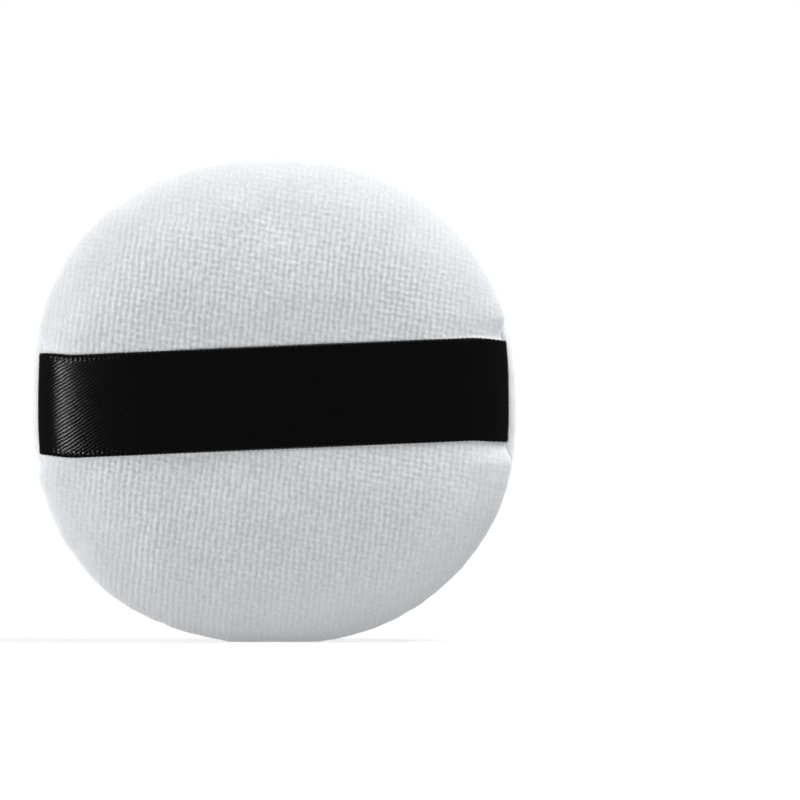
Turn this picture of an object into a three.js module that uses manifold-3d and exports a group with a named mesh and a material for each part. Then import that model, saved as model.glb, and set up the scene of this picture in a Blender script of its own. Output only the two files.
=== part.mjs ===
// A round powder puff. Two domed covers of white cotton velour are sewn together round the rim,
// right sides facing, and turned over a foam disc. A black satin ribbon lies across the back as a
// strap for the fingers, with both of its ends caught in the rim seam.
// Millimetres. The puff stands on its rim: Z is up, X runs along the ribbon, the ribbon side faces -Y.
import * as THREE from "three";
import { mergeGeometries, mergeVertices } from "three/addons/utils/BufferGeometryUtils.js";
import Module from "manifold-3d";

// Puff
const PUFF_RADIUS = 45;
const FACE_HEIGHT = 11;
const BACK_HEIGHT = 11;
const FOOT_DEPTH = 0.5;
const OUTLINE_POWER = 2.24; // 2 would be a circle, and more is squarer

// Face: level in the middle, with a round shoulder. Back: one low crown.
const FACE_FLAT_RADIUS = 22;
const FACE_SHOULDER_POWER = 2.6;
const BACK_FLAT_RADIUS = 0;
const BACK_CROWN_POWER = 2.9;

// Cloth and seam
const CLOTH_THICKNESS = 1.3;
const CREASE_DEPTH = 1.8;
const ALLOWANCE_WIDTH = 5.5;
const LOBE_RISE = 0.2;
const CLEARANCE = 0.3;

// Ribbon strap
const RIBBON_WIDTH = 19;
const RIBBON_THICKNESS = 0.4;
const RIBBON_OFFSET = 0.8;
const RIBBON_END_WIDTH = 4.6;
const RIBBON_TILT = THREE.MathUtils.degToRad(1.8);
const PRESS_DEPTH = 2;
const PRESS_FADE = 4;
const SPREAD_FADE = 3;
const HOLD_MARGIN = 0.5;

// Stitches
const THREAD_DIAMETER = 0.4;
const SEAM_INSET = 2.9;
const SEAM_PITCH = 5;
const CLOSING_INSET = 1.1;
const CLOSING_PITCH = 3.6;
const THREAD_TAIL = 1.2;
const TURNING_GAP_START = THREE.MathUtils.degToRad(-76);
const TURNING_GAP_END = THREE.MathUtils.degToRad(-29);

// Facets
const RIM_SEGMENTS = 60;
const OUTER_STEPS = 8;
const INNER_STEPS = 4;
const LOBE_STEPS = 3;
const RIBBON_COLUMNS = 6;
const RIBBON_DOME_STEPS = 11;
const THREAD_SIDES = 6;
const GRID_PULL_SHARE = 0.6; // draws the facets together where the ribbon crosses the rim
const WELD_DISTANCE = 1e-4;

// Heights above the seam plane, worked out from the stack of cloth, ribbon and thread
const SEAM_HALF_GAP = CLEARANCE / 2;
const RIBBON_HALF_GAP = RIBBON_THICKNESS / 2 + CLEARANCE;
const STACK_HEIGHT = RIBBON_HALF_GAP + CLOTH_THICKNESS + CLEARANCE + THREAD_DIAMETER + CLEARANCE;
const LOBE_HEIGHT = STACK_HEIGHT + LOBE_RISE;
const ALLOWANCE_END = PUFF_RADIUS - CREASE_DEPTH - ALLOWANCE_WIDTH;
const STRAP_RISE = CLEARANCE + RIBBON_THICKNESS;

const FACE = { height: FACE_HEIGHT, flatRadius: FACE_FLAT_RADIUS, power: FACE_SHOULDER_POWER };
const BACK = { height: BACK_HEIGHT, flatRadius: BACK_FLAT_RADIUS, power: BACK_CROWN_POWER };

// How the rim runs where the ribbon is not, and where its ends pass into the seam.
const FREE_RIM = { radius: PUFF_RADIUS, halfGap: SEAM_HALF_GAP };
const FACE_RIM_AT_RIBBON = { radius: PUFF_RADIUS, halfGap: RIBBON_HALF_GAP };
const BACK_RIM_AT_RIBBON = { radius: PUFF_RADIUS - PRESS_DEPTH, halfGap: RIBBON_HALF_GAP };

const VELOUR = new THREE.MeshStandardMaterial({ color: 0xf1f0ee, roughness: 0.95, metalness: 0 });
const FOAM = new THREE.MeshStandardMaterial({ color: 0xf0e3bd, roughness: 0.9, metalness: 0 });
const SATIN = new THREE.MeshStandardMaterial({ color: 0x111113, roughness: 0.35, metalness: 0 });
const SEAM_THREAD = new THREE.MeshStandardMaterial({ color: 0xe9e7e2, roughness: 0.7, metalness: 0 });
const CLOSING_THREAD = new THREE.MeshStandardMaterial({ color: 0xdfdcd4, roughness: 0.7, metalness: 0 });

const wasm = await Module();
wasm.setup();

// Radius of the rounded-square outline in a direction, as a share of its radius along X and Z.
function outlineShare(angle) {
  const across = Math.abs(Math.cos(angle)) ** OUTLINE_POWER;
  const up = Math.abs(Math.sin(angle)) ** OUTLINE_POWER;
  return (across + up) ** (-1 / OUTLINE_POWER);
}

// Size of the outline of that shape which passes through a point.
function outlineSize(x, z) {
  return (Math.abs(x) ** OUTLINE_POWER + Math.abs(z) ** OUTLINE_POWER) ** (1 / OUTLINE_POWER);
}

// X of the outline of a given size, at a given Z.
function outlineX(size, z) {
  return (size ** OUTLINE_POWER - Math.abs(z) ** OUTLINE_POWER) ** (1 / OUTLINE_POWER);
}

// Distance of a point from the ribbon's centre line, and the Z of a point at that distance.
function ribbonOffsetOf(x, z) {
  return (z - RIBBON_OFFSET) * Math.cos(RIBBON_TILT) - x * Math.sin(RIBBON_TILT);
}
function ribbonZ(x, offset) {
  return RIBBON_OFFSET + (offset + x * Math.sin(RIBBON_TILT)) / Math.cos(RIBBON_TILT);
}

// 1 under the ribbon and just beside it, fading to 0 further away.
function ribbonHold(x, z, fade) {
  const held = RIBBON_WIDTH / 2 + HOLD_MARGIN;
  const beyond = Math.abs(ribbonOffsetOf(x, z)) - held;
  return 1 - THREE.MathUtils.smoothstep(beyond, 0, fade);
}

// Height of a domed side over the seam plane, at a size of the outline.
function domeHeight(side, size) {
  const share = Math.max(size - side.flatRadius, 0) / (PUFF_RADIUS - side.flatRadius);
  return LOBE_HEIGHT + (side.height - LOBE_HEIGHT) * Math.sqrt(Math.max(1 - share ** side.power, 0));
}

// A dome's section from the axis to its widest ring, drawn in by inset from the outer side.
function domeSection(side, rim, inset, base, steps) {
  const points = side.flatRadius > 0 ? [new THREE.Vector2(0, side.height - inset)] : [];
  for (let step = 0; step <= steps; step++) {
    const turn = (step / steps) * (Math.PI / 2);
    const share = Math.sin(turn) ** (2 / side.power);
    const size = side.flatRadius + share * (rim.radius - inset - side.flatRadius);
    const height = base + (side.height - inset - base) * Math.cos(turn);
    points.push(new THREE.Vector2(size, height));
  }
  return points;
}

// The lobe that turns in from the widest ring to the crease, without the widest ring itself.
function lobeSection(rim) {
  const points = [];
  for (let step = 1; step <= LOBE_STEPS; step++) {
    const turn = (step / LOBE_STEPS) * (Math.PI / 2);
    const size = rim.radius - CREASE_DEPTH + CREASE_DEPTH * Math.cos(turn);
    const height = LOBE_HEIGHT - (LOBE_HEIGHT - rim.halfGap) * Math.sin(turn);
    points.push(new THREE.Vector2(size, height));
  }
  return points;
}

// Section of a cover: from the axis along the inner side, round the turned-in allowance, out to the
// crease and over the lobe and the dome back to the axis.
function coverSection(side, rim) {
  const allowanceBack = rim.halfGap + CLOTH_THICKNESS;
  const fold = rim.radius - CLOTH_THICKNESS - LOBE_RISE;
  return [
    ...domeSection(side, rim, CLOTH_THICKNESS, LOBE_HEIGHT, INNER_STEPS),
    new THREE.Vector2(fold, allowanceBack),
    new THREE.Vector2(ALLOWANCE_END, allowanceBack),
    new THREE.Vector2(ALLOWANCE_END, rim.halfGap),
    ...lobeSection(rim).reverse(),
    ...domeSection(side, rim, 0, LOBE_HEIGHT, OUTER_STEPS).reverse(),
  ];
}

// Half of the foam disc's section: over the dome and down to the groove that takes the allowance.
function coreHalfSection(side, rim) {
  const inset = CLOTH_THICKNESS + CLEARANCE;
  return [
    ...domeSection(side, rim, inset, STACK_HEIGHT, INNER_STEPS),
    new THREE.Vector2(ALLOWANCE_END - CLEARANCE, STACK_HEIGHT),
  ];
}

function coreSection(backRim) {
  const back = coreHalfSection(BACK, backRim).map((point) => new THREE.Vector2(point.x, -point.y));
  return [...back, ...coreHalfSection(FACE, FREE_RIM).reverse()];
}

// Mirrors a section to the back side; the turned order keeps the surface facing out.
function mirrored(section) {
  return section.map((point) => new THREE.Vector2(point.x, -point.y)).reverse();
}

// A solid of revolution whose rings take the puff's outline, and which goes from its free section
// to its held section under the ribbon. The ribbon draws it in along X and spreads it along Y.
function sewnForm(freeSection, heldSection) {
  const geometry = new THREE.LatheGeometry(freeSection, RIM_SEGMENTS);
  const place = geometry.getAttribute("position");
  for (let i = 0; i < place.count; i++) {
    const free = freeSection[i % freeSection.length];
    const held = heldSection[i % freeSection.length];
    const turn = Math.atan2(place.getZ(i), place.getX(i));
    const angle = turn - (GRID_PULL_SHARE / 2) * Math.sin(2 * turn);
    const across = outlineShare(angle) * Math.cos(angle);
    const up = outlineShare(angle) * Math.sin(angle);
    const press = ribbonHold(free.x * across, free.x * up, PRESS_FADE);
    const spread = ribbonHold(free.x * across, free.x * up, SPREAD_FADE);
    const size = THREE.MathUtils.lerp(free.x, held.x, press);
    const height = THREE.MathUtils.lerp(free.y, held.y, spread);
    place.setXYZ(i, size * across, height, free.x * up);
  }
  return geometry;
}

function solidFrom(geometry) {
  const bare = geometry.index ? geometry.toNonIndexed() : geometry;
  const shape = new THREE.BufferGeometry().setAttribute("position", bare.getAttribute("position"));
  const merged = mergeVertices(shape, WELD_DISTANCE);
  const mesh = new wasm.Mesh({
    numProp: 3,
    vertProperties: new Float32Array(merged.getAttribute("position").array),
    triVerts: new Uint32Array(merged.index.array),
  });
  mesh.merge();
  return new wasm.Manifold(mesh);
}

function geometryFrom(solid) {
  const mesh = solid.getMesh();
  const geometry = new THREE.BufferGeometry();
  geometry.setAttribute("position", new THREE.BufferAttribute(mesh.vertProperties, mesh.numProp));
  geometry.setIndex(new THREE.BufferAttribute(mesh.triVerts, 1));
  geometry.computeVertexNormals();
  return geometry;
}

// Stitches: a line of holes at an even pitch, and the thread that runs in and out of them.
function stitchLine(inset, pitch, start, end) {
  const size = PUFF_RADIUS - CREASE_DEPTH - inset;
  const count = Math.max(Math.round(((end - start) * size) / pitch), 1);
  const angles = [];
  for (let i = 0; i <= count; i++) angles.push(start + ((end - start) * i) / count);
  return { size, angles };
}

function pointOnLine(size, angle, height) {
  const reach = size * outlineShare(angle);
  return new THREE.Vector3(reach * Math.cos(angle), height, reach * Math.sin(angle));
}

// Height of the thread's centre where it lies on the allowance.
function threadHeight(size, angle) {
  const spot = pointOnLine(size, angle, 0);
  const spread = ribbonHold(spot.x, spot.z, SPREAD_FADE);
  const halfGap = THREE.MathUtils.lerp(SEAM_HALF_GAP, RIBBON_HALF_GAP, spread);
  return halfGap + CLOTH_THICKNESS + CLEARANCE + THREAD_DIAMETER / 2;
}

function threadRoute({ size, angles }) {
  const bend = THREAD_DIAMETER / size;
  const tail = THREAD_TAIL / size;
  const route = [];
  const add = (angle, height) => route.push({ angle, centre: pointOnLine(size, angle, height) });
  let side = 1;
  add(angles[0] - tail, side * threadHeight(size, angles[0]));
  for (const angle of angles) {
    const height = threadHeight(size, angle);
    add(angle - bend, side * height);
    add(angle, side * (height - THREAD_DIAMETER));
    add(angle, -side * (height - THREAD_DIAMETER));
    add(angle + bend, -side * height);
    side = -side;
  }
  const last = angles[angles.length - 1];
  add(last + tail, side * threadHeight(size, last));
  return route;
}

// A round thread along the route. Its section is spanned by the direction away from the axis and
// the direction square to that and to the route.
function threadGeometry(route) {
  const positions = [];
  const faces = [];
  route.forEach(({ angle, centre }, i) => {
    const before = route[Math.max(i - 1, 0)].centre;
    const after = route[Math.min(i + 1, route.length - 1)].centre;
    const along = after.clone().sub(before).normalize();
    const outward = new THREE.Vector3(Math.cos(angle), 0, Math.sin(angle));
    const square = along.clone().cross(outward).normalize();
    const level = square.clone().cross(along).normalize();
    for (let side = 0; side < THREAD_SIDES; side++) {
      const turn = (side / THREAD_SIDES) * 2 * Math.PI;
      const spot = centre.clone();
      spot.addScaledVector(level, Math.cos(turn) * (THREAD_DIAMETER / 2));
      spot.addScaledVector(square, Math.sin(turn) * (THREAD_DIAMETER / 2));
      positions.push(...spot.toArray());
    }
  });
  for (let ring = 0; ring + 1 < route.length; ring++) {
    for (let side = 0; side < THREAD_SIDES; side++) {
      const near = ring * THREAD_SIDES + side;
      const next = ring * THREAD_SIDES + ((side + 1) % THREAD_SIDES);
      faces.push(near, next, next + THREAD_SIDES, near, next + THREAD_SIDES, near + THREAD_SIDES);
    }
  }
  const lastRing = (route.length - 1) * THREAD_SIDES;
  for (let side = 1; side + 1 < THREAD_SIDES; side++) {
    faces.push(0, side + 1, side);
    faces.push(lastRing, lastRing + side, lastRing + side + 1);
  }
  const geometry = new THREE.BufferGeometry();
  geometry.setAttribute("position", new THREE.Float32BufferAttribute(positions, 3));
  geometry.setIndex(faces);
  geometry.computeVertexNormals();
  return geometry;
}

// One square punch for each stitch hole, as deep as the whole stack.
function holePunches(lines) {
  const width = THREAD_DIAMETER + 2 * CLEARANCE;
  const punches = lines.flatMap(({ size, angles }) =>
    angles.map((angle) => {
      const punch = new THREE.BoxGeometry(width, 2 * STACK_HEIGHT, width);
      punch.rotateY(-angle);
      const spot = pointOnLine(size, angle, 0);
      return punch.translate(spot.x, spot.y, spot.z);
    }),
  );
  return solidFrom(mergeGeometries(punches));
}

// The level cut on which the rim stands.
function footPunch() {
  const reach = 2 * PUFF_RADIUS;
  const block = new THREE.BoxGeometry(reach, reach, PUFF_RADIUS);
  return solidFrom(block.translate(0, 0, FOOT_DEPTH - PUFF_RADIUS - PUFF_RADIUS / 2));
}

// Rows of points on the back cover where the ribbon lies, from its left end in the seam, round the
// rim, across the back and into the seam on the right. Each row runs across the ribbon.
function ribbonBed() {
  const half = [];
  const end = PUFF_RADIUS - CREASE_DEPTH - RIBBON_END_WIDTH;
  const fold = lobeSection(BACK_RIM_AT_RIBBON);
  half.push({ size: end, height: RIBBON_HALF_GAP });
  fold.reverse().forEach((point) => half.push({ size: point.x, height: point.y }));
  const flat = half.map(({ size, height }) => (side, offset) => rimSpot(size, height, side, offset));
  const domed = [];
  for (let step = RIBBON_DOME_STEPS; step > 0; step--) {
    const share = Math.sin((step / RIBBON_DOME_STEPS) * (Math.PI / 2)) ** (2 / BACK.power);
    domed.push((side, offset) => domeSpot(share, side, offset));
  }
  const rows = [...flat, ...domed];
  const row = (spot, side) => columnOffsets().map((offset) => spot(side, offset));
  return [
    ...rows.map((spot) => row(spot, -1)),
    row((side, offset) => domeSpot(0, side, offset), 1),
    ...rows.reverse().map((spot) => row(spot, 1)),
  ];
}

function columnOffsets() {
  const offsets = [];
  for (let column = 0; column <= RIBBON_COLUMNS; column++) {
    offsets.push((column / RIBBON_COLUMNS - 1 / 2) * RIBBON_WIDTH);
  }
  return offsets;
}

// A point of the held rim, below the widest ring, on one side (-1 left, 1 right).
function rimSpot(size, height, side, offset) {
  const freeSize = size + PRESS_DEPTH;
  const z = ribbonZ(side * size, offset);
  return new THREE.Vector3((side * outlineX(freeSize, z) * size) / freeSize, -height, z);
}

// A point of the held dome, at a share of the way from the middle to the widest ring.
function domeSpot(share, side, offset) {
  const heldShare = (PUFF_RADIUS - PRESS_DEPTH) / PUFF_RADIUS;
  const z = ribbonZ(side * share * PUFF_RADIUS, offset);
  const rimDrop = PUFF_RADIUS - outlineX(PUFF_RADIUS, z);
  const freeX = share * PUFF_RADIUS - rimDrop * share ** 3;
  const size = Math.min(outlineSize(freeX, z), PUFF_RADIUS);
  return new THREE.Vector3(side * freeX * heldShare, -domeHeight(BACK, size), z);
}

// The ribbon: its bed, lifted by the clearance and then by its thickness.
function ribbonGeometry() {
  const bed = ribbonBed();
  const last = bed.length - 1;
  const lifted = (rise) =>
    bed.map((row, r) =>
      row.map((spot, c) => {
        const along = bed[Math.min(r + 1, last)][c].clone().sub(bed[Math.max(r - 1, 0)][c]);
        const across = row[Math.min(c + 1, RIBBON_COLUMNS)].clone().sub(row[Math.max(c - 1, 0)]);
        const out = along.cross(across).normalize();
        return spot.clone().addScaledVector(out, rise);
      }),
    );
  const inner = lifted(CLEARANCE);
  const outer = lifted(STRAP_RISE);
  const loop = inner.map((row, r) => [...row, ...outer[r].slice().reverse()]);
  const width = loop[0].length;
  const faces = [];
  for (let r = 0; r < last; r++) {
    for (let c = 0; c < width; c++) {
      const near = r * width + c;
      const next = r * width + ((c + 1) % width);
      faces.push(near, next, next + width, near, next + width, near + width);
    }
  }
  for (let c = 0; c < RIBBON_COLUMNS; c++) {
    const far = width - 1 - c;
    const tail = last * width;
    faces.push(c, far - 1, c + 1, c, far, far - 1);
    faces.push(tail + c, tail + c + 1, tail + far - 1, tail + c, tail + far - 1, tail + far);
  }
  const geometry = new THREE.BufferGeometry();
  const positions = loop.flat().flatMap((spot) => spot.toArray());
  geometry.setAttribute("position", new THREE.Float32BufferAttribute(positions, 3));
  geometry.setIndex(faces);
  return geometry;
}

const seamLine = stitchLine(SEAM_INSET, SEAM_PITCH, TURNING_GAP_END, TURNING_GAP_START + 2 * Math.PI);
const closingLine = stitchLine(CLOSING_INSET, CLOSING_PITCH, TURNING_GAP_START, TURNING_GAP_END);
const punches = holePunches([seamLine, closingLine]);
const foot = footPunch();

function faceCover() {
  const form = sewnForm(coverSection(FACE, FREE_RIM), coverSection(FACE, FACE_RIM_AT_RIBBON));
  return geometryFrom(solidFrom(form).subtract(punches).subtract(foot));
}

function backCover() {
  const free = mirrored(coverSection(BACK, FREE_RIM));
  const held = mirrored(coverSection(BACK, BACK_RIM_AT_RIBBON));
  return geometryFrom(solidFrom(sewnForm(free, held)).subtract(punches).subtract(foot));
}

function spongeCore() {
  return geometryFrom(solidFrom(sewnForm(coreSection(FREE_RIM), coreSection(BACK_RIM_AT_RIBBON))));
}

function strapRibbon() {
  return geometryFrom(solidFrom(ribbonGeometry()).subtract(punches));
}

const puff = new THREE.Group();
puff.position.set(0, STRAP_RISE / 2, PUFF_RADIUS - FOOT_DEPTH);

function addPiece(name, geometry, material) {
  const piece = new THREE.Mesh(geometry, material);
  piece.name = name;
  puff.add(piece);
}

addPiece("face_cover", faceCover(), VELOUR);
addPiece("back_cover", backCover(), VELOUR);
addPiece("sponge_core", spongeCore(), FOAM);
addPiece("strap_ribbon", strapRibbon(), SATIN);
addPiece("seam_thread", threadGeometry(threadRoute(seamLine)), SEAM_THREAD);
addPiece("closing_thread", threadGeometry(threadRoute(closingLine)), CLOSING_THREAD);

export default puff;
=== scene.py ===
import math

import bpy
import numpy as np
from bpy.props import FloatProperty, FloatVectorProperty, IntProperty, PointerProperty
from bpy.types import NodeSocket, Operator, Panel, PropertyGroup
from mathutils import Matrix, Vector


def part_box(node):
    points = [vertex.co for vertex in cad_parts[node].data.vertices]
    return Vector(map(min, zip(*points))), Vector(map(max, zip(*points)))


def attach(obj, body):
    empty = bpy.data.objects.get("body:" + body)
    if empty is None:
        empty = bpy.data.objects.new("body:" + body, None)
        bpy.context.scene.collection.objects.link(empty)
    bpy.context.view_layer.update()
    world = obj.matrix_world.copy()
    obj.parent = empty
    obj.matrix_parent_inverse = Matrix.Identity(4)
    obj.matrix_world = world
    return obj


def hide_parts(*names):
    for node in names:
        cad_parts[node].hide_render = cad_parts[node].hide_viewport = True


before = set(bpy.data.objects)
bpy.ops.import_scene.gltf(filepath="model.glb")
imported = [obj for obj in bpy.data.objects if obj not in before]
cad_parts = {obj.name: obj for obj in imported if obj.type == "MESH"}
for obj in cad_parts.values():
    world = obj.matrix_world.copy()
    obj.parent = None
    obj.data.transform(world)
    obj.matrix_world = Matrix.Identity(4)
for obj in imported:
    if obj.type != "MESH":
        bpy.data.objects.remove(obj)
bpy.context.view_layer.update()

bl_info = {
    "name": "Powder puff",
    "version": (1, 0, 0),
    "blender": (4, 5, 0),
    "location": "3D View > Sidebar > Powder puff",
    "description": "Dresses the powder puff: velour covers, foam disc, satin strap and threads",
    "category": "Object",
}

# Lengths are metres in the properties and the studio, and millimetres in the mesh code.
MM = 0.001
BODY = "root"

FACE_LOW, FACE_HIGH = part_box("face_cover")
BACK_LOW, BACK_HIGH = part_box("back_cover")
RIM_RADIUS = (FACE_HIGH.x - FACE_LOW.x) / 2
CENTRE_Z = FACE_HIGH.z - RIM_RADIUS
SEAM_Y = (FACE_LOW.y + BACK_HIGH.y) / 2

FACE, BACK = 1, -1
DENSE = 400  # points of a section before it is divided evenly
LATTICE = 257  # random values along each side of the noise lattice
TINY = 1e-9  # keeps a division by nothing away

join = np.concatenate


# Properties


def metres(name, description, default):
    """A length, from a quarter of its default to four times that."""
    low, high = sorted((default / 4, default * 4))
    return FloatProperty(
        name=name, description=description, default=default, min=low, max=high,
        unit="LENGTH", subtype="DISTANCE")


def number(name, description, default, low, high):
    return FloatProperty(name=name, description=description, default=default, min=low, max=high)


def degrees(name, description, default):
    return FloatProperty(
        name=name, description=description, default=math.radians(default),
        unit="ROTATION", subtype="ANGLE")


def colour(name, description, default):
    return FloatVectorProperty(
        name=name, description=description, default=default, size=3, min=0, max=1,
        subtype="COLOR")


class PuffForm(PropertyGroup):
    rim_radius: metres("Rim radius", "From the axis to the widest ring, along X and Z", RIM_RADIUS)
    outline_power: number("Outline power", "2 is a round outline, and more is squarer", 2.24, 2, 3)
    face_height: metres(
        "Face height", "From the seam to the level middle of the face", FACE_HIGH.y - SEAM_Y)
    back_height: metres(
        "Back height", "From the seam to the crown of the back", SEAM_Y - BACK_LOW.y)
    face_flat_radius: metres("Face flat radius", "Where the face's round shoulder starts", 0.022)
    face_power: number("Face shoulder power", "Fullness of the face's shoulder", 2.6, 1.5, 5)
    back_power: number("Back crown power", "Fullness of the back's crown", 2.3, 1.5, 5)
    lobe_height: metres("Lobe height", "From the seam to the widest ring of a cover", 0.003)
    crease_depth: metres("Crease depth", "How far the seam lies inside the widest ring", 0.0018)
    allowance_width: metres("Seam allowance", "Width of cloth turned in behind the seam", 0.0055)
    cloth_thickness: metres("Cloth thickness", "Velour with its pile", 0.0013)
    free_gap: metres("Gap in the seam", "Half the room between both covers in the seam", 0.00005)
    held_gap: metres(
        "Gap at the strap", "Half the room that the strap's end takes in the seam", 0.0002)
    press_depth: metres("Strap press", "How far the strap draws in the back's rim", 0.0016)
    press_fade: metres("Press fade", "How far beside the strap the drawn-in cloth recovers", 0.004)
    dent_depth: metres("Strap dent", "How far the taut strap sinks into the filled back", 0.00055)
    dent_fade: metres("Dent fade", "How far beside the strap the dent reaches", 0.008)
    unevenness: metres("Unevenness", "Height of the slow waves in the filled cloth", 0.0003)
    pucker_depth: metres("Pucker depth", "Depth of the small gathers beside the seam", 0.00012)
    rings: IntProperty(
        name="Rings", description="Rings of faces from the axis to the seam",
        default=200, min=24, max=260)


class VelourCloth(PropertyGroup):
    wale_pitch: metres("Wale pitch", "From one wale of pile to the next", 0.00112)
    nub_length: metres("Nub length", "Length of one tuft along its wale", 0.00109)
    nub_height: metres(
        "Nub height", "How far the tufts stand over the ground of the cloth", 0.00018)
    tip_colour: colour("Pile colour", "White cotton at the tips of the pile", (0.882, 0.908, 0.925))
    # Painted shade: the ground between the tufts gets a darker colour than the tips, where less
    # light comes back out
    ground_colour_with_painted_shade: colour(
        "Ground colour", "Cloth between the tufts, where less light comes back out",
        (0.54, 0.56, 0.58))
    sheen: FloatProperty(
        name="Sheen", description="Pale glow of the fibres at the edges",
        default=0.2, min=0, max=1, subtype="FACTOR")


class SatinStrap(PropertyGroup):
    width: metres("Width", "Width of the ribbon where it lies flat", 0.019)
    thickness: metres("Thickness", "Thickness of the ribbon between its edges", 0.00028)
    offset: metres("Height over the middle", "Where the ribbon's line crosses the axis", 0.0007)
    tilt: degrees("Tilt", "Turn of the ribbon's line from level", 2.45)
    left_bend: metres("Left end bend", "How far the left end turns up before the rim", 0.00085)
    right_bend: metres("Right end bend", "How far the right end turns down before the rim", -0.0007)
    end_width: metres("Sewn-in length", "Length of each end inside the seam", 0.0046)
    twill_pitch: metres(
        "Twill pitch", "Between the weave's slanted lines, across the ribbon", 0.0007)
    colour: colour("Colour", "Black dyed satin", (0.003, 0.003, 0.0032))


class SewingThread(PropertyGroup):
    diameter: metres("Diameter", "Diameter of the sewing thread", 0.0004)
    seam_pitch: metres("Seam pitch", "Length of one lock stitch", 0.0025)
    closing_pitch: metres("Closing pitch", "Length of one hand stitch", 0.0036)
    seam_inset: metres("Seam inset", "From the crease in to the machine seam", 0.0029)
    closing_inset: metres("Closing inset", "From the crease in to the hand stitches", 0.0011)
    gap_start: degrees("Turning gap start", "Where the machine seam ends, from +X towards +Z", -76)
    gap_end: degrees("Turning gap end", "Where the machine seam starts", -29)
    colour: colour("Colour", "White spun thread", (0.82, 0.81, 0.79))


class FoamFill(PropertyGroup):
    room: metres("Room", "Between the foam and the cloth over it", 0.0002)
    rings: IntProperty(
        name="Rings", description="Rings of faces on each side of the disc",
        default=60, min=16, max=120)
    colour: colour("Colour", "Cream open-cell foam", (0.88, 0.8, 0.6))


class StudioSet(PropertyGroup):
    camera_distance: metres("Camera distance", "From the camera to the plane of the seam", 0.9)
    frame_width: metres("Frame width", "Width of the picture at the seam's plane", 0.1488)
    aim_x: metres("Aim X", "X in the middle of the picture", 0.02345)
    aim_z: metres("Aim Z", "Height in the middle of the picture", 0.0448)
    ambient: number(
        "Ambient light", "Even light from the camera's side and from behind", 0.05, 0, 2)
    tent: number("Tent light", "Light of the white tent over and beside the object", 3.0, 0, 8)
    tent_width: number(
        "Tent width", "How far the tent's light reaches to the front and back", 0.2, 0.1, 2)
    floor_colour: colour("Floor colour", "Plain pale floor", (0.5, 0.5, 0.5))
    table_glow: number(
        "Table glow", "Light that comes through the white table from below", 0.6, 0, 1)


# Plain shapes of the puff, in millimetres from its centre

BEND_START, BEND_END = 36.0, 45.0  # from the axis, where the strap's ends bend
HOLD_MARGIN = 0.5  # beside the strap, where it still presses in full
PART_FADE = 3.0  # over which the covers close again beside the strap's end
DENT_POWER = 4  # how late the strap's dent runs out towards the rim
INNER_RINGS = 9  # rings of points under the dome
FOLD_ROOM = 0.2  # from the allowance's fold to the inside of the dome


def mm(length):
    return length / MM


def side_facts(form, side):
    """Height, flat radius and fullness of one side, in millimetres."""
    if side == FACE:
        return mm(form.face_height), mm(form.face_flat_radius), form.face_power
    return mm(form.back_height), 0.0, form.back_power


def rim_sizes(form, side):
    """The rim's radius, and what the strap draws it in to."""
    radius = mm(form.rim_radius)
    return radius, radius - (mm(form.press_depth) if side == BACK else 0)


def ease(value, low, high):
    """0 up to low, 1 from high on, and smooth between them."""
    t = np.clip((value - low) / (high - low), 0, 1)
    return t * t * (3 - 2 * t)


def outline_share(form, angle):
    """Radius of the rounded-square outline in a direction, as a share of that along X."""
    return 1 / outline_size(form, np.cos(angle), np.sin(angle))


def outline_size(form, x, z):
    """Radius along X of the outline that passes through a place."""
    n = form.outline_power
    return (np.abs(x) ** n + np.abs(z) ** n) ** (1 / n)


def outline_x(form, size, z):
    """X where an outline of one size passes a height."""
    n = form.outline_power
    return np.maximum(size**n - np.abs(z) ** n, 0) ** (1 / n)


def strap_line(strap, x):
    """Height of the strap's centre line over the puff's middle."""
    bend = np.where(x < 0, mm(strap.left_bend), mm(strap.right_bend))
    turned = bend * ease(np.abs(x), BEND_START, BEND_END)
    return mm(strap.offset) + math.tan(strap.tilt) * x + turned


def strap_hold(strap, x, z, margin, fade):
    """1 under the strap, fading to 0 beside it."""
    beyond = np.abs(z - strap_line(strap, x)) - mm(strap.width) / 2 - margin
    return 1 - ease(beyond, 0, fade)


def strap_dent(form, strap, x, z, share):
    """How deep the strap sinks in at a place, none at the rim."""
    beyond = np.maximum(np.abs(z - strap_line(strap, x)) - mm(strap.width) / 2, 0)
    depth = mm(form.dent_depth) * np.exp(-((beyond / mm(form.dent_fade)) ** 2))
    return depth * (1 - np.clip(share, 0, 1) ** DENT_POWER)


def smooth_noise(seed, u, v):
    """Smooth noise from -1 to 1, one random value for each whole u and v."""
    lattice = np.random.default_rng(seed).uniform(-1, 1, (LATTICE, LATTICE))
    i, j = np.floor(u).astype(int), np.floor(v).astype(int)
    a, b = ease(u - i, 0, 1), ease(v - j, 0, 1)
    i0, i1, j0, j1 = i % LATTICE, (i + 1) % LATTICE, j % LATTICE, (j + 1) % LATTICE
    near = lattice[i0, j0] * (1 - a) + lattice[i1, j0] * a
    far = lattice[i0, j1] * (1 - a) + lattice[i1, j1] * a
    return near * (1 - b) + far * b


def grain(kind, seed, u, v):
    """Smooth noise of one kind."""
    reach, size_u, size_v = kind
    return reach * smooth_noise(seed, u / size_u, v / size_v)


def unit(vectors):
    """The vectors, each with a length of 1."""
    return vectors / np.maximum(np.linalg.norm(vectors, axis=-1, keepdims=True), TINY)


def path_length(points):
    """Length along a row of points, up to each of them."""
    return join([[0], np.cumsum(np.linalg.norm(np.diff(points, axis=0), axis=1))])


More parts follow.
